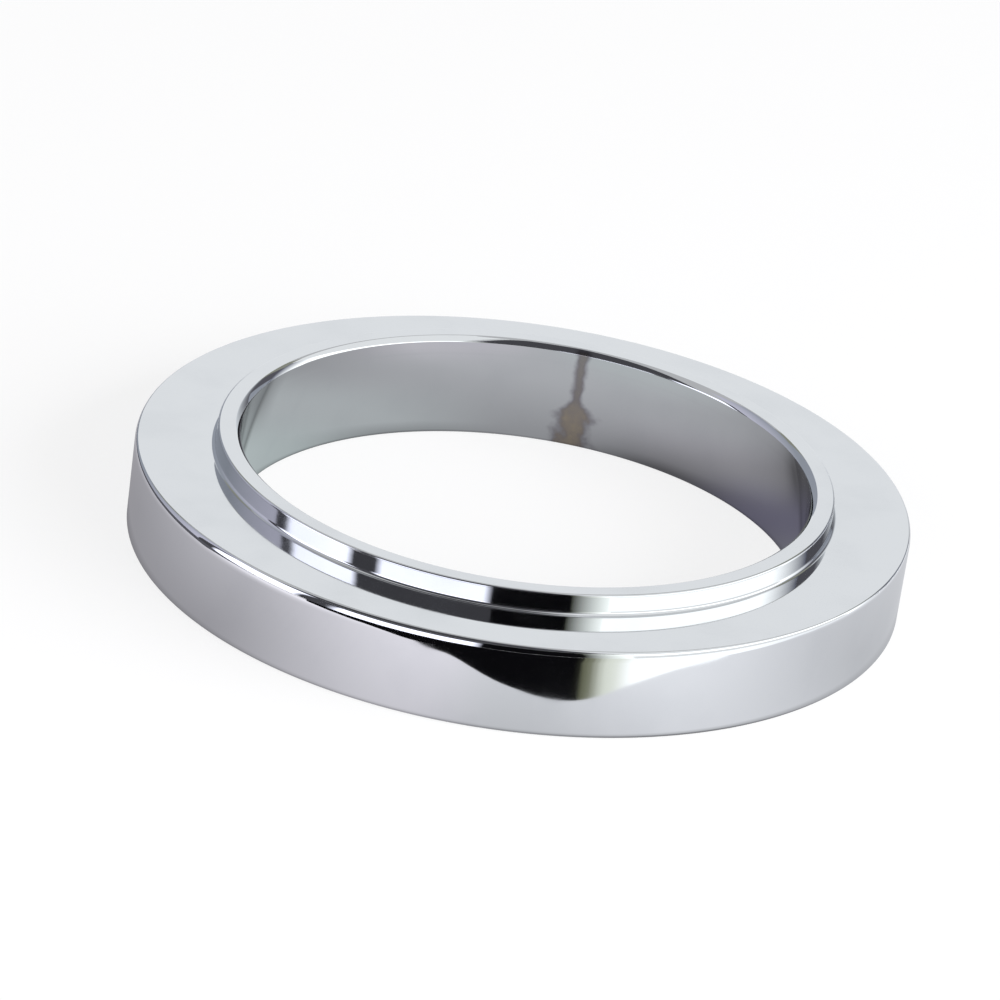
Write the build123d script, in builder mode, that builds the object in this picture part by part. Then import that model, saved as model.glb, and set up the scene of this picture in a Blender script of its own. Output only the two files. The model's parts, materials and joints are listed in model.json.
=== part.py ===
"""Tap escutcheon: the turned and chromed ring between a tap body and the basin.

A flat-topped flange carries a low locating collar, and one straight bore runs
through both. The part is one piece of metal, turned from one section.

Frame: millimetres, +Z along the ring's axis. The origin is the centre of the
underside, which rests on the basin.
"""

import os

from build123d import *

# Bore: passes the tap's shank, stud and hoses
BORE_DIAMETER = 40.0

# Collar: the low step that locates the tap body
COLLAR_WALL = 1.6
COLLAR_HEIGHT = 1.4

# Flange: the wide ring that covers the tap hole, with a seat round the collar
SEAT_WIDTH = 5.6
FLANGE_HEIGHT = 6.3

# Polished rounds on the broad corners, and turned breaks on the fine ones
FLANGE_EDGE_ROUND = 0.5
COLLAR_FOOT_ROUND = 0.25
BORE_RIM_ROUND = 0.4
COLLAR_EDGE_BREAK = 0.15
UNDERSIDE_EDGE_BREAK = 0.25

# Radii of the section, from the bore outwards
bore_radius = BORE_DIAMETER / 2
collar_radius = bore_radius + COLLAR_WALL
flange_radius = collar_radius + SEAT_WIDTH

# Corners of the section, as radius and height above the basin
top_height = FLANGE_HEIGHT + COLLAR_HEIGHT
bore_foot = (bore_radius, 0)
flange_foot = (flange_radius, 0)
flange_edge = (flange_radius, FLANGE_HEIGHT)
collar_foot = (collar_radius, FLANGE_HEIGHT)
collar_edge = (collar_radius, top_height)
bore_rim = (bore_radius, top_height)

corner_rounds = {
    flange_edge: FLANGE_EDGE_ROUND,
    collar_foot: COLLAR_FOOT_ROUND,
    bore_rim: BORE_RIM_ROUND,
}
corner_breaks = {
    collar_edge: COLLAR_EDGE_BREAK,
    flange_foot: UNDERSIDE_EDGE_BREAK,
    bore_foot: UNDERSIDE_EDGE_BREAK,
}

# The ring: its half section, softened at every corner and turned about the axis
with BuildPart() as escutcheon:
    with BuildSketch(Plane.XZ) as section:
        with BuildLine():
            Polyline(bore_foot, flange_foot, flange_edge, collar_foot, collar_edge, bore_rim, close=True)
        make_face()
        for corner, corner_round in corner_rounds.items():
            fillet(section.vertices().sort_by_distance(corner)[0], radius=corner_round)
        for corner, corner_break in corner_breaks.items():
            chamfer(section.vertices().sort_by_distance(corner)[0], length=corner_break)
    revolve(axis=Axis.Z)

escutcheon.part.label = "escutcheon_ring"

os.makedirs("parts", exist_ok=True)
export_step(escutcheon.part, "parts/escutcheon_ring.step")
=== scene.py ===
"""Blender scene of a tap escutcheon: the chromed ring, its studio and its camera.

The ring is turned about +Z, in metres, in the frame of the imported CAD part. Its
sizes come from that frame, and this script adds the look. Bearings are measured
about +Z from the front of the ring, which is -Y, towards its right, which is +X.
"""

import json
import logging
import math
from dataclasses import dataclass
from enum import Enum
from typing import Any

import bpy
import numpy as np
from mathutils import Matrix, Vector


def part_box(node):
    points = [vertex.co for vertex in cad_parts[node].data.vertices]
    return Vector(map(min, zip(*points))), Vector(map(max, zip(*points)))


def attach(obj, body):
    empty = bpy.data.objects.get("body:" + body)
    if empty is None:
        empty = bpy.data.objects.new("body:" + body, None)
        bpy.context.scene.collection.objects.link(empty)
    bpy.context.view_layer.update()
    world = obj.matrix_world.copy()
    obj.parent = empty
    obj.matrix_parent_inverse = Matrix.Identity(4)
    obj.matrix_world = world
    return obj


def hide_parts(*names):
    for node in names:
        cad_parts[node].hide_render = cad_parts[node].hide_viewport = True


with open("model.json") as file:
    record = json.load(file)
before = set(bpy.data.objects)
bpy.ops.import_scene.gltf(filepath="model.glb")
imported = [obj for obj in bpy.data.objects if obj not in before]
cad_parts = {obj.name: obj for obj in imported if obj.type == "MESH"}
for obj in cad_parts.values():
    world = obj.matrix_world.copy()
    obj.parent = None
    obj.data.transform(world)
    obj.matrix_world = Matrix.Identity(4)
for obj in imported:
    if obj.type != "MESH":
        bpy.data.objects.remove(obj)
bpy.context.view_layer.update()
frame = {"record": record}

LOG = logging.getLogger("escutcheon")
MILLIMETRE = 0.001

Colour = tuple[float, float, float]
Point = tuple[float, float]
Socket = bpy.types.NodeSocket

# Ranges that the materials map from and to; nearly all noise lies in NOISE_SPAN
NONE_TO_FULL: Point = (0.0, 1.0)
FULL_TO_NONE: Point = (1.0, 0.0)
NOISE_SPAN: Point = (0.3, 0.7)


class Ray(Enum):
    """Kinds of ray that the stage answers in its own way."""

    CAMERA = "Is Camera Ray"
    GLOSSY = "Is Glossy Ray"


class Graph:
    """A node tree that is being wired, with one call for each kind of step."""

    def __init__(self, tree: bpy.types.NodeTree) -> None:
        """Start from an empty tree."""
        self.tree = tree
        self.tree.nodes.clear()

    def node(self, kind: str, inputs: dict[str | int, Any], **settings: Any) -> bpy.types.Node:
        """Add a node and feed its inputs.

        Args:
            kind: the node's type name.
            inputs: sockets to link from, or plain values to set, by input name or number.
            settings: the node's own properties.

        Returns:
            The new node.
        """
        node = self.tree.nodes.new(kind)
        for name, value in settings.items():
            setattr(node, name, value)
        for key, value in inputs.items():
            if isinstance(value, Socket):
                self.tree.links.new(value, node.inputs[key])
            else:
                node.inputs[key].default_value = value
        return node

    def math(self, operation: str, first: Socket | float, second: Socket | float = 0.0) -> Socket:
        """Return the result of one arithmetic step."""
        return self.node("ShaderNodeMath", {0: first, 1: second}, operation=operation).outputs[0]

    def remap(self, value: Socket, source: Point, target: Point, smooth: bool = False) -> Socket:
        """Map a range of a value to another range, and clamp it there.

        Args:
            value: the value to map.
            source: the two ends of the range it comes in.
            target: what those two ends become.
            smooth: whether the slope eases at both ends.

        Returns:
            The mapped value.
        """
        ends = {1: source[0], 2: source[1], 3: target[0], 4: target[1]}
        kind = "SMOOTHSTEP" if smooth else "LINEAR"
        return self.node("ShaderNodeMapRange", {0: value, **ends}, interpolation_type=kind).outputs[0]

    def noise(self, place: Socket, per_metre: float, detail: float = 2.0) -> Socket:
        """Return a smooth random value with so many swells to the metre."""
        inputs = {"Vector": place, "Scale": per_metre, "Detail": detail}
        return self.node("ShaderNodeTexNoise", inputs).outputs[0]

    def blend(self, amount: Socket, low: Socket | Colour, high: Socket | Colour) -> Socket:
        """Blend two colours.

        Args:
            amount: how far the result is from the first colour to the second.
            low: the first colour.
            high: the second colour.

        Returns:
            The blended colour.
        """
        values = [value if isinstance(value, Socket) else (*value, 1.0) for value in (low, high)]
        inputs = {"Factor": amount, 6: values[0], 7: values[1]}
        return self.node("ShaderNodeMix", inputs, data_type="RGBA").outputs[2]

    def ray(self, kind: Ray) -> Socket:
        """Return 1 for rays of that kind and 0 for the others."""
        return self.node("ShaderNodeLightPath", {}).outputs[kind.value]

    def either(self, amount: Socket | float, low: Socket, high: Socket) -> Socket:
        """Return a mix of two shaders."""
        return self.node("ShaderNodeMixShader", {0: amount, 1: low, 2: high}).outputs[0]


def new_material(name: str) -> tuple[bpy.types.Material, Graph]:
    """Make an empty node material.

    Args:
        name: the material's name.

    Returns:
        The material, and the graph of its nodes.
    """
    material = bpy.data.materials.new(name)
    material.use_nodes = True
    return material, Graph(material.node_tree)


def add_object(name: str, data: bpy.types.ID) -> bpy.types.Object:
    """Put mesh, lamp or camera data into the scene.

    Args:
        name: the object's name.
        data: what it holds.

    Returns:
        The new object.
    """
    piece = bpy.data.objects.new(name, data)
    bpy.context.scene.collection.objects.link(piece)
    return piece


def direction(bearing: float, elevation: float) -> Vector:
    """Point towards a place on the studio's dome.

    Args:
        bearing: the place's bearing, in degrees.
        elevation: its elevation, in degrees.

    Returns:
        The unit vector towards it.
    """
    turn = math.radians(bearing)
    rise = math.radians(elevation)
    level = math.cos(rise)
    return Vector((level * math.sin(turn), -level * math.cos(turn), math.sin(rise)))


@dataclass(frozen=True)
class Spot:
    """Where on the ring a material is being worked out.

    Attributes:
        point: the point, in the ring's own frame.
        back: its distance behind the axis.
        height: its height above the underside.
        radius: its distance from the axis.
    """

    point: Socket
    back: Socket
    height: Socket
    radius: Socket

    @classmethod
    def of(cls, graph: Graph) -> "Spot":
        """Read the point in a graph and split it into its parts.

        Args:
            graph: the material's graph.

        Returns:
            The point and its parts.
        """
        point = graph.node("ShaderNodeTexCoord", {}).outputs["Object"]
        x, y, height = graph.node("ShaderNodeSeparateXYZ", {0: point}).outputs
        flat = graph.math("ADD", graph.math("POWER", x, 2.0), graph.math("POWER", y, 2.0))
        return cls(point, y, height, graph.math("SQRT", flat))


@dataclass(frozen=True)
class ChromeFinish:
    """Polished chrome plate with polishing haze, turned lines, specks and one stain.

    Lengths are in metres, and each scale is a number of swells or cells to the metre.

    Attributes:
        metal: colour of the bright plate.
        polish: roughness of the bright plate.
        dulled: colour of the plate under haze.
        haze: roughness of the plate under haze.
        haze_scale: scale of the haze.
        haze_onset: noise values at which the haze starts and is full.
        speck: colour of the specks.
        speck_scale: scale of the cells that may hold a speck.
        speck_choice: random values of a cell at which a speck starts to show and is full.
        speck_reach: shares of a cell at which a speck starts to fade and ends.
        speck_strength: how much a speck covers the plate.
        swell: height of the waves that polishing leaves.
        swell_scale: scale of those waves.
        line_depth: depth of the turned lines.
        line_scale: scale of the turned lines.
        line_share: share of that depth that is left below the seat.
        line_rise: height over which the full depth sets in above the seat.
        stain_border: colour of the stain's rim.
        stain_body: colour of the stain's upper part.
        stain_core: colour of its lower part.
        stain_roughness: roughness of the stain.
        stain_bearing: bearing of the stain on the bore, in degrees.
        stain_neck: height above which the stain is narrow.
        stain_flare: height below which it is wide.
        stain_half_widths: half its width above the neck and below the flare.
        stain_edge: shares of its half width at which it starts to fade and ends.
        stain_rag: how far its edge wanders, as a share of its half width.
        stain_rag_scale: scale of that wandering.
        stain_mottle: its thinnest and thickest patches, where 1 is full.
        stain_mottle_scale: scale of those patches.
        stain_mottle_onset: noise values of the thinnest and thickest patches.
        stain_cover: strength at which it hides the plate.
        stain_heart: strength above which its rim turns into its body.
        stain_depth: distances outside the bore's wall at which it starts to fade and ends.
        stain_behind: distance behind the axis over which it sets in.
    """

    metal: Colour = (0.695, 0.702, 0.71)
    polish: float = 0.04
    dulled: Colour = (0.67, 0.678, 0.688)
    haze: float = 0.09
    haze_scale: float = 210.0
    haze_onset: Point = (0.42, 0.72)
    speck: Colour = (0.3, 0.3, 0.31)
    speck_scale: float = 240.0
    speck_choice: Point = (0.9, 0.92)
    speck_reach: Point = (0.03, 0.07)
    speck_strength: float = 0.55
    swell: float = 0.000005
    swell_scale: float = 70.0
    line_depth: float = 0.0000025
    line_scale: float = 2000.0
    line_share: float = 0.1
    line_rise: float = 0.0002
    stain_border: Colour = (0.28, 0.26, 0.29)
    stain_body: Colour = (0.33, 0.3, 0.28)
    stain_core: Colour = (0.47, 0.4, 0.31)
    stain_roughness: float = 0.22
    stain_bearing: float = 171.4
    stain_neck: float = 0.0038
    stain_flare: float = 0.0022
    stain_half_widths: Point = (0.00065, 0.0019)
    stain_edge: Point = (0.1, 1.1)
    stain_rag: float = 0.3
    stain_rag_scale: float = 700.0
    stain_mottle: Point = (0.75, 1.0)
    stain_mottle_scale: float = 1500.0
    stain_mottle_onset: Point = (0.3, 0.65)
    stain_cover: float = 0.7
    stain_heart: float = 0.4
    stain_depth: Point = (0.0001, 0.0004)
    stain_behind: float = 0.001

    def material(self, bore_radius: float, seat_height: float) -> bpy.types.Material:
        """Build the plate's material.

        Args:
            bore_radius: the radius of the wall that carries the stain, in metres.
            seat_height: the height above which the turned lines were left, in metres.

        Returns:
            The finished material.
        """
        material, graph = new_material("polished_chrome_plate")
        spot = Spot.of(graph)
        patches = graph.noise(spot.point, self.haze_scale, detail=5.0)
        haze = graph.remap(patches, self.haze_onset, NONE_TO_FULL, smooth=True)
        specks = self._specks(graph, spot)
        stain = self._stain(graph, spot, bore_radius)
        body = graph.remap(stain, (self.stain_heart, 1.0), NONE_TO_FULL)
        low = graph.remap(spot.height, (self.stain_neck, self.stain_flare), NONE_TO_FULL)
        stain_colour = graph.blend(low, self.stain_body, self.stain_core)
        stain_colour = graph.blend(body, self.stain_border, stain_colour)
        colour = graph.blend(haze, self.metal, self.dulled)
        colour = graph.blend(specks, colour, self.speck)
        cover = graph.remap(stain, (0.0, self.stain_cover), NONE_TO_FULL)
        colour = graph.blend(cover, colour, stain_colour)
        above_seat = (seat_height, seat_height + self.line_rise)
        raised = graph.remap(spot.height, above_seat, (self.line_share, 1.0))
        gloss = graph.remap(haze, NONE_TO_FULL, (self.polish, self.haze))
        gloss = graph.math("MAXIMUM", gloss, graph.math("MULTIPLY", stain, self.stain_roughness))
        relief = self._relief(graph, spot, raised)
        inputs = {"Base Color": colour, "Metallic": 1.0, "Roughness": gloss, "Normal": relief}
        surface = graph.node("ShaderNodeBsdfPrincipled", inputs).outputs[0]
        graph.node("ShaderNodeOutputMaterial", {"Surface": surface})
        return material

    def _specks(self, graph: Graph, spot: Spot) -> Socket:
        """Scatter a few small dull specks over the plate.

        Args:
            graph: the material's graph.
            spot: the place on the ring.

        Returns:
            How much a speck covers the plate there, and 0 beside the specks.
        """
        inputs = {"Vector": spot.point, "Scale": self.speck_scale}
        cells = graph.node("ShaderNodeTexVoronoi", inputs)
        chance = graph.node("ShaderNodeSeparateColor", {0: cells.outputs["Color"]}).outputs[0]
        chosen = graph.remap(chance, self.speck_choice, NONE_TO_FULL)
        near = graph.remap(cells.outputs["Distance"], self.speck_reach, FULL_TO_NONE, smooth=True)
        return graph.math("MULTIPLY", graph.math("MULTIPLY", chosen, near), self.speck_strength)

    def _stain(self, graph: Graph, spot: Spot, wall: float) -> Socket:
        """Shape the brown run that widens downwards on the back of the bore.

        Args:
            graph: the material's graph.
            spot: the place on the ring.
            wall: the radius of the bore.

        Returns:
            1 in the heart of the stain, falling to 0 round it.
        """
        kind = "ShaderNodeVectorMath"
        middle = wall * direction(self.stain_bearing, 0.0)
        along = direction(self.stain_bearing + 90.0, 0.0)
        offset = graph.node(kind, {0: spot.point, 1: middle}, operation="SUBTRACT").outputs[0]
        aside = graph.node(kind, {0: offset, 1: along}, operation="DOT_PRODUCT").outputs["Value"]
        wander = graph.noise(spot.point, self.stain_rag_scale, detail=3.0)
        ragged = graph.remap(wander, NOISE_SPAN, (-self.stain_rag, self.stain_rag))
        heights = (self.stain_neck, self.stain_flare)
        half_width = graph.remap(spot.height, heights, self.stain_half_widths, smooth=True)
        reach = graph.math("DIVIDE", graph.math("ABSOLUTE", aside), half_width)
        frayed = graph.math("ADD", reach, ragged)
        across = graph.remap(frayed, self.stain_edge, FULL_TO_NONE, smooth=True)
        behind = graph.remap(spot.back, (0.0, self.stain_behind), NONE_TO_FULL)
        fading, ended = (wall + depth for depth in self.stain_depth)
        inside = graph.remap(spot.radius, (fading, ended), FULL_TO_NONE)
        patches = graph.noise(spot.point, self.stain_mottle_scale, detail=3.0)
        mottle = graph.remap(patches, self.stain_mottle_onset, self.stain_mottle)
        mottled = graph.math("MULTIPLY", across, mottle)
        return graph.math("MULTIPLY", mottled, graph.math("MULTIPLY", behind, inside))

    def _relief(self, graph: Graph, spot: Spot, raised: Socket) -> Socket:
        """Bend the mirror a little, as hand polishing and turning do.

        Args:
            graph: the material's graph.
            spot: the place on the ring.
            raised: the share of the turned lines' depth that is left there.

        Returns:
            The bent normal.
        """
        waves = graph.noise(spot.point, self.swell_scale, detail=0.0)
        inputs = {"Height": waves, "Distance": self.swell, "Strength": 1.0}
        swell = graph.node("ShaderNodeBump", inputs).outputs[0]
        parts = {0: spot.radius, 1: spot.height, 2: 0.0}
        turned = graph.node("ShaderNodeCombineXYZ", parts).outputs[0]
        lines = graph.math("MULTIPLY", graph.noise(turned, self.line_scale), raised)
        inputs = {"Height": lines, "Distance": self.line_depth, "Strength": 1.0, "Normal": swell}
        return graph.node("ShaderNodeBump", inputs).outputs[0]


@dataclass(frozen=True)
class FloorFinish:
    """Matt pale floor, seen by the camera as near white with the ring's soft shadow.

    Attributes:
        colour: the floor's lighter colour.
        mottled: its darker colour.
        mottle_scale: swells from one to the other, to the metre.
        shadow_share: share of the lit floor, and so of the shadow, that the camera sees.
    """

    colour: Colour = (0.86, 0.86, 0.88)
    mottled: Colour = (0.83, 0.83, 0.85)
    mottle_scale: float = 60.0
    shadow_share: float = 0.2

    def material(self) -> bpy.types.Material:
        """Build the floor's material.

        Returns:
            The finished material.
        """
        material, graph = new_material("pale_floor")
        place = graph.node("ShaderNodeTexCoord", {}).outputs["Object"]
        mottle = graph.noise(place, self.mottle_scale, detail=3.0)
        colour = graph.blend(mottle, self.colour, self.mottled)
        lit = graph.node("ShaderNodeBsdfDiffuse", {"Color": colour}).outputs[0]
        white = graph.node("ShaderNodeEmission", {"Strength": 1.0}).outputs[0]
        backdrop = graph.either(self.shadow_share, white, lit)
        seen = graph.either(graph.ray(Ray.CAMERA), lit, backdrop)
        graph.node("ShaderNodeOutputMaterial", {"Surface": seen})
        return material


@dataclass(frozen=True)
class GlowFinish:
    """Even glow of a stage panel, from the colour stored at its points.

    Attributes:
        attribute: name of the stored colour, which on the table's cards is painted light and shade.
    """

    attribute: str = "glow"

    def material(self) -> bpy.types.Material:
        """Build the panel's material.

        Returns:
            The finished material.
        """
        material, graph = new_material("panel_glow")
        colour = graph.node("ShaderNodeAttribute", {}, attribute_name=self.attribute).outputs["Color"]
        glow = graph.node("ShaderNodeEmission", {"Color": colour, "Strength": 1.0}).outputs[0]
        graph.node("ShaderNodeOutputMaterial", {"Surface": glow})
        return material


@dataclass(frozen=True)
class Corner:
    """A corner of the ring's section, with its rounding.

    Attributes:
        radius: distance of the sharp corner from the axis.
        height: height of the sharp corner above the underside.
        arrives: direction of the section's line into the corner.
        leaves: direction of the line out of it.
        before: how far before the corner the round starts, for each bearing of the ring.
        after: how far after the corner it ends, for each bearing.
        steps: number of straight steps that make the round.
        flatness: 1 for a true round, and nearer to 2 for one that is flat like a bevel.
    """

    radius: float
    height: float
    arrives: Point
    leaves: Point
    before: np.ndarray
    after: np.ndarray
    steps: int
    flatness: float = 1.0

    def arc(self) -> tuple[np.ndarray, np.ndarray]:
        """Lay out the round.

        Returns:
            The radius and height of its points, and their tangents, by step, bearing and axis.
        """
        turn = np.linspace(0.0, math.pi / 2, self.steps + 1)
        sharp = np.array((self.radius, self.height))
        arrives = np.multiply.outer(self.before, self.arrives)
        leaves = np.multiply.outer(self.after, self.leaves)
        falling = np.clip(np.cos(turn), 0.0, 1.0)
        rising = np.clip(np.sin(turn), 0.0, 1.0)
        ahead = np.multiply.outer(1.0 - falling**self.flatness, leaves)
        behind = np.multiply.outer(1.0 - rising**self.flatness, arrives)
        points = sharp + ahead - behind
        turning = 2.0 - self.flatness
        arriving = np.multiply.outer(falling**turning, arrives)
        leaving = np.multiply.outer(rising**turning, leaves)
        return points, arriving + leaving


@dataclass(frozen=True)
class NickWave:
    """A wave of small nicks round the flange's edge, which swells and fades.

    Attributes:
        strength: the wave's share of the nicks.
        nicks: number of nicks round the ring.
        phase: where they start, in radians.
        swells: number of times that they swell and fade round the ring.
        swell_phase: where that starts, in radians.
    """

    strength: float
    nicks: int
    phase: float
    swells: int
    swell_phase: float

    def at(self, turn: np.ndarray) -> np.ndarray:
        """Return the wave's height at bearings in radians."""
        swelling = np.sin(self.swells * turn + self.swell_phase)
        return self.strength * np.sin(self.nicks * turn + self.phase) * swelling


@dataclass
class EscutcheonRing:
    """The one-piece ring: flange, collar and bore, all turned about +Z.

    Attributes:
        bore_radius: radius of the bore.
        collar_radius: radius of the top of the collar's wall.
        flange_radius: outer radius of the ring.
        flange_height: height of the seat round the collar.
        top_height: height of the collar's top.
        edge_width: mean width of the flange's rolled edge on the flange's top.
        edge_depth: its mean depth on the flange's wall.
        edge_drift: share by which both change slowly round the ring.
        edge_lobes: number of wide and narrow places of that change.
        edge_phase: where that change starts, in radians.
        edge_nick: share by which both change in small nicks.
        edge_nicks: the waves that make the nicks.
        foot_round: radius of the round at the collar's foot.
        collar_round: radius of the round on the collar's outer edge.
        collar_draft: lean of the collar's wall, in radians.
        rim_round: reach of the bore's upper rim along the top and down the wall.
        rim_flatness: how flat that rim is, as for a corner.
        underside_round: radius of the rounds under the ring.
        segments: number of copies of the section round the ring.
        fine_steps: straight steps in each of the rounds that show.
        coarse_steps: straight steps in each of the smallest rounds.
    """

    bore_radius: float
    collar_radius: float
    flange_radius: float
    flange_height: float
    top_height: float
    edge_width: float = 0.00027
    edge_depth: float = 0.00064
    edge_drift: float = 0.4
    edge_lobes: int = 2
    edge_phase: float = 0.7
    edge_nick: float = 0.01
    edge_nicks: tuple[NickWave, ...] = (
        NickWave(1.0, 61, 0.0, 17, 0.6),
        NickWave(0.6, 97, 2.0, 7, math.pi / 2),
    )
    foot_round: float = 0.00025
    collar_round: float = 0.00015
    collar_draft: float = 0.0525
    rim_round: float = 0.0004
    rim_flatness: float = 1.6
    underside_round: float = 0.00025
    segments: int = 720
    fine_steps: int = 20
    coarse_steps: int = 5

    @classmethod
    def from_frame(cls) -> "EscutcheonRing":
        """Take the ring's sizes from the CAD node and its mounts.

        Returns:
            The ring in those sizes.
        """
        _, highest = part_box("escutcheon_ring")
        mounts = {mount["name"]: mount for mount in frame["record"]["mounts"]}
        return cls(
            bore_radius=mounts["bore"]["dims"]["r_mm"] * MILLIMETRE,
            collar_radius=mounts["collar"]["dims"]["r_mm"] * MILLIMETRE,
            flange_radius=highest.x,
            flange_height=mounts["tap_seat"]["pos_m"][2],
            top_height=highest.z,
        )

    def bearings(self) -> np.ndarray:
        """Return the bearings of the section's copies, in radians."""
        return np.linspace(0.0, 2 * math.pi, self.segments, endpoint=False)

    def edge_polish(self) -> np.ndarray:
        """Work out how hard the flange's edge was polished.

        Returns:
            The share of the full round at each bearing, which drifts slowly and has small nicks.
        """
        turn = self.bearings()
        drift = np.cos(self.edge_lobes * turn + self.edge_phase)
        nicks = sum(wave.at(turn) for wave in self.edge_nicks)
        return 1.0 + self.edge_drift * drift + self.edge_nick * nicks

    def corners(self) -> list[Corner]:
        """List the section's corners, from the foot of the bore outwards and back up.

        Returns:
            The corners in that order.
        """
        outward, inward, upward, downward = (1.0, 0.0), (-1.0, 0.0), (0.0, 1.0), (0.0, -1.0)
        leaning = (-math.sin(self.collar_draft), math.cos(self.collar_draft))
        collar_foot = self.collar_radius + self.collar_draft * (self.top_height - self.flange_height)
        even = np.ones(self.segments)
        underside = self.underside_round * even
        polish = self.edge_polish()
        depth = self.edge_depth * polish
        width = self.edge_width * polish
        foot = self.foot_round * even
        edge = self.collar_round * even
        rim = self.rim_round * even
        fine = self.fine_steps
        coarse = self.coarse_steps
        return [
            Corner(self.bore_radius, 0.0, downward, outward, underside, underside, coarse),
            Corner(self.flange_radius, 0.0, outward, upward, underside, underside, coarse),
            Corner(self.flange_radius, self.flange_height, upward, inward, depth, width, fine),
            Corner(collar_foot, self.flange_height, inward, leaning, foot, foot, fine),
            Corner(self.collar_radius, self.top_height, leaning, inward, edge, edge, coarse),
            Corner(
                self.bore_radius,
                self.top_height,
                inward,
                downward,
                rim,
                rim,
                fine,
                self.rim_flatness,
            ),
        ]

    def build(self) -> bpy.types.Object:
        """Turn the section about the axis.

        Returns:
            The ring, with the exact normals of its flats and rounds.
        """
        arcs = [corner.arc() for corner in self.corners()]
        points = self._turned(np.concatenate([arc[0] for arc in arcs]))
        section_way = self._turned(np.concatenate([arc[1] for arc in arcs]))
        round_way = np.roll(points, -1, axis=1) - np.roll(points, 1, axis=1)
        normals = np.cross(round_way, section_way)
        normals /= np.linalg.norm(normals, axis=-1, keepdims=True)
        mesh = bpy.data.meshes.new("chromed_ring")
        mesh.from_pydata(points.reshape(-1, 3).tolist(), [], self._faces(len(points)))
        mesh.shade_smooth()
        mesh.normals_split_custom_set_from_vertices(normals.reshape(-1, 3).tolist())
        return add_object("chromed_ring", mesh)

    def _turned(self, section: np.ndarray) -> np.ndarray:
        """Turn pairs of radius and height to their bearings.

        Args:
            section: the pairs, by row and bearing.

        Returns:
            The points in space.
        """
        turn = self.bearings()
        radii, heights = section[..., 0], section[..., 1]
        return np.stack([radii * np.sin(turn), -radii * np.cos(turn), heights], axis=-1)

    def _faces(self, rows: int) -> list[tuple[int, int, int, int]]:
        """List the four corners of each face.

        Args:
            rows: number of points in the section.

        Returns:
            The faces, which close on themselves both ways round.
        """
        row, column = np.meshgrid(np.arange(rows), np.arange(self.segments), indexing="ij")
        next_row = (row + 1) % rows
        next_column = (column + 1) % self.segments
        first = row * self.segments
        second = next_row * self.segments
        corners = [first + column, first + next_column, second + next_column, second + column]
        faces = np.stack(corners, axis=-1)
        return [tuple(face) for face in faces.reshape(-1, 4).tolist()]

    def dress(self, ring: bpy.types.Object, finish: ChromeFinish) -> None:
        """Give the ring its plate and its place in the frame.

        Args:
            ring: the ring from build.
            finish: the plate.
        """
        ring.data.materials.append(finish.material(self.bore_radius, self.flange_height))
        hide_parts("escutcheon_ring")
        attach(ring, "root")


@dataclass(frozen=True)
class Panel:
    """A stage panel on the studio's dome, which only the chrome sees.

    Attributes:
        name: the panel's name.
        bearings: bearings of its two upright edges, in degrees.
        elevations: elevations of its lower and upper edges, in degrees.
        glows: its colour at the two upright edges, where 1 is white.
        fades: how far the glow fades in at its sides and at its top and bottom, in degrees.
        reach: radius of its part of the dome.
        step: about the angle from one of its points to the next, in degrees.
    """

    name: str
    bearings: Point
    elevations: Point
    glows: tuple[Colour, Colour]
    fades: Point = (0.0, 0.0)
    reach: float = 0.6
    step: float = 1.5

    def build(self, finish: GlowFinish, material: bpy.types.Material) -> bpy.types.Object:
        """Lay the panel out on the dome.

        Args:
            finish: the finish, which names the stored colour.
            material: the finish's material.

        Returns:
            The panel.
        """
        columns = max(2, round(abs(self.bearings[1] - self.bearings[0]) / self.step) + 1)
        rows = max(2, round((self.elevations[1] - self.elevations[0]) / self.step) + 1)
        across = np.linspace(0.0, 1.0, columns)
        bearings = np.linspace(*self.bearings, columns)
        elevations = np.linspace(*self.elevations, rows)
        points = [
            self.reach * direction(bearing, elevation)
            for elevation in elevations
            for bearing in bearings
        ]
        glows = np.outer(1.0 - across, self.glows[0]) + np.outer(across, self.glows[1])
        sideways, upright = self.fades
        strength = np.outer(self._fade(elevations, upright), self._fade(bearings, sideways))
        shaded = (strength[..., None] * glows).reshape(-1, 3)
        return stage_card(self.name, points, grid_faces(rows, columns), shaded, finish, material)

    @staticmethod
    def _fade(places: np.ndarray, width: float) -> np.ndarray:
        """Return the glow's strength at places from one edge to the other."""
        inset = np.minimum(places - places[0], places[-1] - places)
        return np.clip(inset / width, 0.0, 1.0) if width else np.ones_like(places)


@dataclass(frozen=True)
class RoundCard:
    """A flat round card on the table, which only the chrome sees.

    Attributes:
        name: the card's name.
        radii: radii at which its glow is set, in millimetres.
        bearings: bearings at which its glow is set, in degrees from -180 to 180.
        levels: for each radius, its brightness at each bearing, where 1 is white; these are painted
            light and shade of the table.
        tints: its tint at each bearing.
        lift: height of the card.
        columns: number of points round the card.
    """

    name: str
    radii: tuple[float, ...]
    bearings: tuple[float, ...]
    levels: tuple[tuple[float, ...], ...]
    tints: tuple[Colour, ...]
    lift: float = 0.00001
    columns: int = 181

    def build(self, finish: GlowFinish, material: bpy.types.Material) -> bpy.types.Object:
        """Lay the card on the table.

        Args:
            finish: the finish, which names the stored colour.
            material: the finish's material.

        Returns:
            The card.
        """
        turns = np.linspace(-180.0, 180.0, self.columns)
        lift = Vector((0.0, 0.0, self.lift))
        points = [
            radius * MILLIMETRE * direction(turn, 0.0) + lift
            for radius in self.radii
            for turn in turns
        ]
        tinted = [np.array(level)[:, None] * np.array(self.tints) for level in self.levels]
        glows = [eased(turns, self.bearings, stops) for stops in tinted]
        faces = grid_faces(len(self.radii), self.columns)
        return stage_card(self.name, points, faces, np.vstack(glows), finish, material)


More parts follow.
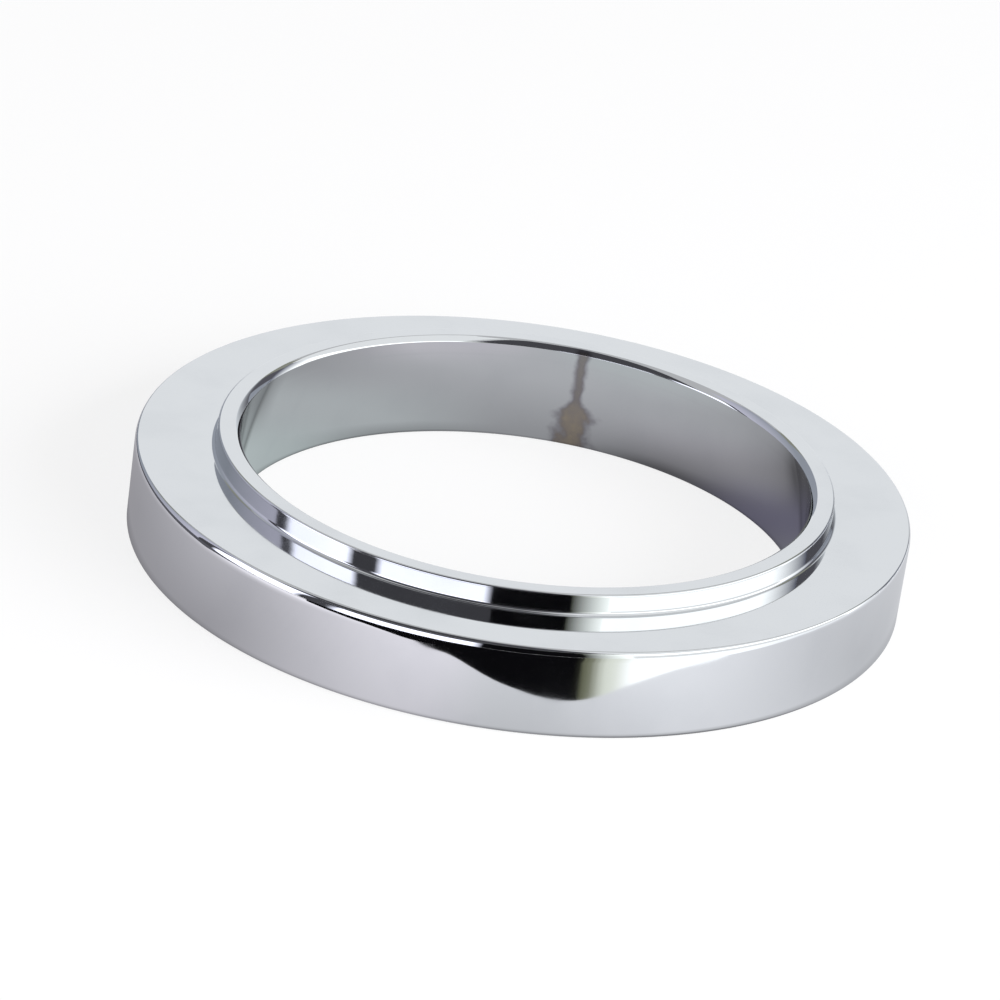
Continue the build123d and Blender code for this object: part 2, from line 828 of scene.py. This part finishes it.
@dataclass(frozen=True)
class FarTable:
    """A card on the table beyond its pale middle, with a curved near edge.

    Attributes:
        name: the card's name.
        edge: points of its near edge, in millimetres, which a smooth curve joins.
        stops: bearings of the edge at which its glow is set, in degrees.
        glows: its glow there, where 1 is white, which is a painted reflection of the table beyond its
            pale middle.
        spread: how much faster than the edge's bearing its strips turn.
        spread_limits: how far they turn to either side, in degrees.
        depth: length of the strips.
        lift: height of the card.
        steps: number of straight steps from each point of the edge to the next.
    """

    name: str
    edge: tuple[Point, ...]
    stops: tuple[float, ...]
    glows: tuple[Colour, ...]
    spread: float = 1.6
    spread_limits: Point = (-56.0, 130.0)
    depth: float = 0.55
    lift: float = 0.00003
    steps: int = 12

    def build(self, finish: GlowFinish, material: bpy.types.Material) -> bpy.types.Object:
        """Lay the card on the table.

        Args:
            finish: the finish, which names the stored colour.
            material: the finish's material.

        Returns:
            The card.
        """
        near = smooth_curve(self.edge, self.steps)
        bearings = np.degrees(np.arctan2(near[:, 0], -near[:, 1]))
        ways = np.clip(self.spread * bearings, *self.spread_limits)
        starts = [Vector((x * MILLIMETRE, y * MILLIMETRE, self.lift)) for x, y in near]
        ends = [start + self.depth * direction(way, 0.0) for start, way in zip(starts, ways)]
        glows = eased(bearings, self.stops, np.array(self.glows))
        faces = grid_faces(2, len(starts))
        return stage_card(self.name, starts + ends, faces, np.vstack([glows, glows]), finish, material)


def eased(places: np.ndarray, stops: tuple[float, ...], glows: np.ndarray) -> np.ndarray:
    """Ease glows from stop to stop.

    Args:
        places: where the glows are wanted.
        stops: places with a set glow, in rising order.
        glows: the glows there.

    Returns:
        The glow at each place.
    """
    marks = np.array(stops)
    before = np.clip(np.searchsorted(marks, places, side="right") - 1, 0, len(marks) - 2)
    share = np.clip((places - marks[before]) / (marks[before + 1] - marks[before]), 0.0, 1.0)
    share = (share * share * (3.0 - 2.0 * share))[:, None]
    return (1.0 - share) * glows[before] + share * glows[before + 1]


def smooth_curve(points: tuple[Point, ...], steps: int) -> np.ndarray:
    """Join points with a smooth curve.

    Args:
        points: the points, in order.
        steps: number of straight steps from each point to the next.

    Returns:
        The points of the curve.
    """
    marks = np.array(points)
    padded = np.vstack([2 * marks[0] - marks[1], marks, 2 * marks[-1] - marks[-2]])
    share = np.linspace(0.0, 1.0, steps, endpoint=False)[:, None]
    runs = []
    for before, start, end, after in zip(padded, padded[1:], padded[2:], padded[3:]):
        leaving = (end - before) / 2
        arriving = (after - start) / 2
        bend = 3 * (end - start) - 2 * leaving - arriving
        twist = leaving + arriving - 2 * (end - start)
        runs.append(start + leaving * share + bend * share**2 + twist * share**3)
    return np.vstack([*runs, marks[-1:]])


def grid_faces(rows: int, columns: int) -> list[tuple[int, ...]]:
    """List the four corners of each face in a grid of points.

    Args:
        rows: number of rows of points.
        columns: number of points in a row.

    Returns:
        The faces.
    """
    corners = [row * columns + column for row in range(rows - 1) for column in range(columns - 1)]
    return [(corner, corner + 1, corner + columns + 1, corner + columns) for corner in corners]


def stage_card(
    name: str,
    points: list[Vector],
    faces: list[tuple[int, ...]],
    glows: np.ndarray,
    finish: GlowFinish,
    material: bpy.types.Material,
) -> bpy.types.Object:
    """Make a glowing card of the stage that only glossy rays meet.

    Args:
        name: the card's name.
        points: its points.
        faces: its faces.
        glows: its colour at each point.
        finish: the finish, which names the stored colour.
        material: the finish's material.

    Returns:
        The card, which only glossy rays meet.
    """
    mesh = bpy.data.meshes.new(name)
    mesh.from_pydata(points, [], faces)
    stored = mesh.color_attributes.new(finish.attribute, "FLOAT_COLOR", "POINT")
    stored.data.foreach_set("color", np.hstack([glows, np.ones((len(glows), 1))]).ravel())
    mesh.materials.append(material)
    card = add_object(name, mesh)
    card.visible_camera = False
    card.visible_diffuse = False
    card.visible_transmission = False
    card.visible_shadow = False
    return card


@dataclass(frozen=True)
class SoftLamp:
    """A large soft lamp, aimed at the ring.

    Attributes:
        name: the lamp's name.
        bearing: its bearing in degrees.
        elevation: its elevation in degrees.
        watts: its power.
        width: width of its face.
        height: height of its face.
        distance: how far it stands from the ring.
    """

    name: str
    bearing: float
    elevation: float
    watts: float
    width: float
    height: float
    distance: float = 0.6

    def build(self) -> bpy.types.Object:
        """Hang the lamp, hidden from the chrome, which sees the panels instead.

        Returns:
            The lamp.
        """
        data = bpy.data.lights.new(self.name, "AREA")
        data.energy = self.watts
        data.shape = "RECTANGLE"
        data.size = self.width
        data.size_y = self.height
        lamp = add_object(self.name, data)
        towards = direction(self.bearing, self.elevation)
        lamp.location = self.distance * towards
        lamp.rotation_euler = towards.to_track_quat("Z", "Y").to_euler()
        lamp.visible_glossy = False
        return lamp


# Glows of the studio's panels, and tints of its cards, where 1 is white
WHITE: Colour = (1.0, 1.0, 1.0)
WHITE_WALL: Colour = (2.05, 2.12, 2.14)
PALE_WALL: Colour = (1.02, 1.05, 1.07)
LILAC_WINDOW: Colour = (1.95, 2.0, 2.3)
PALE_SWEEP: Colour = (0.97, 1.0, 1.03)
PALE_RETURN: Colour = (0.85, 0.9, 0.95)
WARM_WALL: Colour = (1.8, 1.9, 1.85)
WALL_SHADE: Colour = (0.05, 0.055, 0.04)
DUSK: Colour = (0.15, 0.16, 0.22)
LILAC_SIDE: Colour = (0.68, 0.68, 0.82)
GREY_SIDE: Colour = (0.36, 0.39, 0.45)
OLIVE_SHADE: Colour = (0.32, 0.33, 0.28)
GREY_CEILING: Colour = (0.6, 0.61, 0.63)
DARK: Colour = (0.004, 0.004, 0.005)
SHADED: Colour = (0.12, 0.12, 0.14)
SURROUND: Colour = (0.075, 0.075, 0.085)
COOL_TINT: Colour = (0.98, 1.0, 1.05)
GREEN_TINT: Colour = (0.91, 1.02, 1.03)
SEA_TINT: Colour = (0.95, 1.01, 1.04)
LILAC_TINT: Colour = (1.0, 0.985, 1.06)
VIOLET_TINT: Colour = (1.0, 0.96, 1.3)


@dataclass
class Studio:
    """The plain pale studio round the ring: floor, panels, cards, lamps and air.

    Attributes:
        panels: the dome's panels.
        cards: the cards on the table, whose glow is painted light and shade of the table for the
            chrome.
        lamps: the lamps that light the floor.
        floor_size: width of the square floor.
        floor_drop: how far the floor lies under the ring.
        air: strength of the light that comes from all round.
    """

    panels: tuple[Panel, ...] = (
        Panel("back_sweep", (166.0, 194.0), (-2.0, 31.0), (PALE_SWEEP, PALE_SWEEP)),
        Panel("back_shade", (131.0, 225.0), (31.0, 40.0), (OLIVE_SHADE, OLIVE_SHADE)),
        Panel("right_wall_edge", (22.5, 36.0), (-4.0, 35.0), (WALL_SHADE, WARM_WALL)),
        Panel("right_wall_foot", (36.0, 107.0), (-4.0, 17.0), (PALE_WALL, PALE_WALL)),
        Panel("right_wall", (36.0, 107.0), (17.0, 35.0), (WHITE_WALL, WHITE_WALL)),
        Panel("right_wall_top", (36.0, 131.0), (35.0, 78.0), (PALE_WALL, PALE_WALL)),
        Panel("right_wall_end", (107.0, 131.0), (-4.0, 35.0), (WHITE_WALL, DUSK)),
        Panel("right_gap_foot", (131.0, 148.0), (-4.0, 17.0), (GREY_SIDE, GREY_SIDE)),
        Panel("right_gap", (131.0, 148.0), (17.0, 31.0), (SHADED, SHADED)),
        Panel("right_return", (148.0, 166.0), (-2.0, 31.0), (SHADED, PALE_RETURN)),
        Panel("near_window", (-48.5, -5.0), (-10.0, 27.0), (LILAC_WINDOW, LILAC_WINDOW), (3.0, 3.0)),
        Panel("far_window", (-90.0, -57.0), (-10.0, 37.0), (LILAC_WINDOW, LILAC_WINDOW), (3.0, 5.0)),
        Panel("left_side", (-135.0, -95.0), (-2.0, 50.0), (GREY_SIDE, LILAC_SIDE)),
        Panel("left_return", (-166.0, -135.0), (-2.0, 31.0), (GREY_SIDE, GREY_SIDE)),
        Panel("front_shade", (-75.0, 30.0), (37.0, 84.0), (SURROUND, SURROUND)),
        Panel("window_surround", (-135.0, -5.0), (-10.0, 36.0), (SURROUND, SURROUND), reach=0.62),
        Panel("overhead", (-180.0, 180.0), (36.0, 89.9), (GREY_CEILING, GREY_CEILING), reach=0.62),
    )
    cards: tuple[RoundCard | FarTable, ...] = (
        # Painted shade: the floor inside the bore as the chrome reflects it. It is darkest in a ring at
        # the wall's foot as contact shadow, and darker to the right and back right, where the ring's
        # wall shades it
        RoundCard(
            "bore_table",
            (0.2, 9.0, 18.0, 19.5, 20.3),
            (-180.0, -150.0, -120.0, 0.0, 90.0, 125.0, 150.0, 180.0),
            (
                (0.62, 0.62, 0.62, 0.62, 0.62, 0.62, 0.62, 0.62),
                (0.55, 0.6, 0.6, 0.6, 0.6, 0.62, 0.66, 0.55),
                (0.39, 0.55, 0.6, 0.43, 0.3, 0.17, 0.24, 0.39),
                (0.37, 0.38, 0.58, 0.4, 0.25, 0.15, 0.11, 0.37),
                # painted contact shadow at the foot of the bore's wall
                (0.25, 0.18, 0.12, 0.25, 0.1, 0.06, 0.12, 0.25),
            ),
            (COOL_TINT, SEA_TINT, GREEN_TINT, COOL_TINT, COOL_TINT, VIOLET_TINT, LILAC_TINT, COOL_TINT),
        ),
        # Painted light and shade: the floor round the ring as the chrome reflects it, with a dark
        # contact shadow at the ring's foot, the ring's shadow to the left and a bright pool of light in
        # front and to the right
        RoundCard(
            "near_table",
            (27.0, 27.9, 60.0, 150.0),
            (-180.0, -100.0, -52.0, -12.0, 2.0, 30.0, 75.0, 180.0),
            (
                # painted contact shadow at the ring's foot
                (0.25, 0.2, 0.25, 0.4, 0.3, 0.1, 0.5, 0.25),
                (0.5, 0.33, 0.43, 0.82, 0.72, 0.95, 0.66, 0.5),
                (0.9, 0.9, 1.2, 1.5, 1.3, 1.5, 1.15, 0.9),
                (0.9, 0.9, 0.9, 0.9, 0.9, 0.9, 0.9, 0.9),
            ),
            (COOL_TINT, LILAC_TINT, LILAC_TINT, LILAC_TINT, COOL_TINT, COOL_TINT, COOL_TINT, COOL_TINT),
        ),
        # Painted reflection: what the chrome sees on the table beyond its pale middle, black in front
        # and to the front left, and bright to the right
        FarTable(
            "far_table",
            (
                (-50.0, -49.0),
                (-23.0, -43.5),
                (-11.5, -37.0),
                (-5.0, -36.5),
                (1.0, -34.0),
                (7.0, -31.7),
                (14.0, -31.9),
                (20.0, -30.5),
                (26.0, -26.7),
                (33.0, -23.0),
                (47.0, -17.0),
                (72.0, 0.0),
            ),
            (-46.0, 13.2, 14.7, 19.0, 24.4, 41.0, 70.0, 90.0),
            (
                DARK,
                DARK,
                (0.2, 0.21, 0.14),
                (1.0, 1.05, 0.95),
                (1.58, 1.63, 1.65),
                (1.5, 1.55, 1.6),
                (1.2, 1.25, 1.3),
                (0.9, 0.95, 0.97),
            ),
        ),
        # Painted shade: a dark card on the table to the left, as the chrome reflects it
        FarTable(
            "left_table",
            ((-35.0, 45.0), (-45.0, 28.0), (-50.0, 5.0), (-47.0, -16.0)),
            (-142.0, -71.0),
            (SHADED, SHADED),
            spread=1.0,
            spread_limits=(-180.0, 180.0),
        ),
    )
    lamps: tuple[SoftLamp, ...] = (
        SoftLamp("right_lamp", 62.0, 22.0, 9.0, 0.8, 0.4),
        SoftLamp("near_window_lamp", -27.0, 18.0, 1.4, 0.4, 0.4),
        SoftLamp("far_window_lamp", -74.0, 18.0, 0.4, 0.32, 0.4),
    )
    floor_size: float = 6.0
    floor_drop: float = 0.00002
    air: float = 0.5

    def build(self) -> list[bpy.types.Object]:
        """Set the studio up.

        Returns:
            Its floor, panels, cards and lamps.
        """
        finish = GlowFinish()
        material = finish.material()
        glowing = [card.build(finish, material) for card in (*self.panels, *self.cards)]
        self._fill_air()
        return [self._floor(), *glowing, *(lamp.build() for lamp in self.lamps)]

    def _floor(self) -> bpy.types.Object:
        """Lay the floor just under the ring.

        Returns:
            The floor.
        """
        half = self.floor_size / 2
        low = -self.floor_drop
        corners = [(-half, -half, low), (half, -half, low), (half, half, low), (-half, half, low)]
        mesh = bpy.data.meshes.new("floor")
        mesh.from_pydata(corners, [], [(0, 1, 2, 3)])
        mesh.materials.append(FloorFinish().material())
        floor = add_object("floor", mesh)
        return floor

    def _fill_air(self) -> None:
        """Give the air a soft light, white to the camera and dark between the panels."""
        world = bpy.data.worlds.new("studio_air")
        world.use_nodes = True
        bpy.context.scene.world = world
        graph = Graph(world.node_tree)
        kind = "ShaderNodeBackground"
        soft = graph.node(kind, {"Strength": self.air}).outputs[0]
        gap = graph.node(kind, {"Color": (*DARK, 1.0), "Strength": 1.0}).outputs[0]
        white = graph.node(kind, {"Color": (*WHITE, 1.0), "Strength": 1.0}).outputs[0]
        unseen = graph.either(graph.ray(Ray.GLOSSY), soft, gap)
        seen = graph.either(graph.ray(Ray.CAMERA), unseen, white)
        graph.node("ShaderNodeOutputWorld", {"Surface": seen})


@dataclass(frozen=True)
class PhotoCamera:
    """The camera at the photograph's place, with its slight roll.

    Attributes:
        place: where it stands, in millimetres.
        aim: the point at the middle of the picture, in millimetres.
        roll: how far it leans, in degrees.
        lens: focal length for a sensor 36 mm wide.
        nearest: distance from which it sees things, in metres.
    """

    place: tuple[float, float, float] = (0.0, -319.623, 151.242)
    aim: tuple[float, float, float] = (-1.444, 0.0, 3.966)
    roll: float = 8.146
    lens: float = 181.35
    nearest: float = 0.01

    def build(self) -> bpy.types.Object:
        """Set the camera up and make it the scene's own.

        Returns:
            The camera.
        """
        data = bpy.data.cameras.new("photo_camera")
        data.lens = self.lens
        data.clip_start = self.nearest
        camera = add_object("photo_camera", data)
        place = Vector(self.place) * MILLIMETRE
        back = place - Vector(self.aim) * MILLIMETRE
        upright = back.to_track_quat("Z", "Y").to_matrix().to_4x4()
        lean = Matrix.Rotation(math.radians(self.roll), 4, "Z")
        camera.matrix_world = Matrix.Translation(place) @ upright @ lean
        bpy.context.scene.camera = camera
        return camera


def main() -> None:
    """Build the ring, the studio and the camera, and report each piece."""
    logging.basicConfig(level=logging.INFO)
    bpy.context.scene.view_settings.view_transform = "Standard"
    escutcheon = EscutcheonRing.from_frame()
    ring = escutcheon.build()
    escutcheon.dress(ring, ChromeFinish())
    LOG.info("%s: %d faces", ring.name, len(ring.data.polygons))
    for piece in Studio().build():
        LOG.info("stage: %s", piece.name)
    LOG.info("camera: %s", PhotoCamera().build().name)


if __name__ == "__main__":
    main()
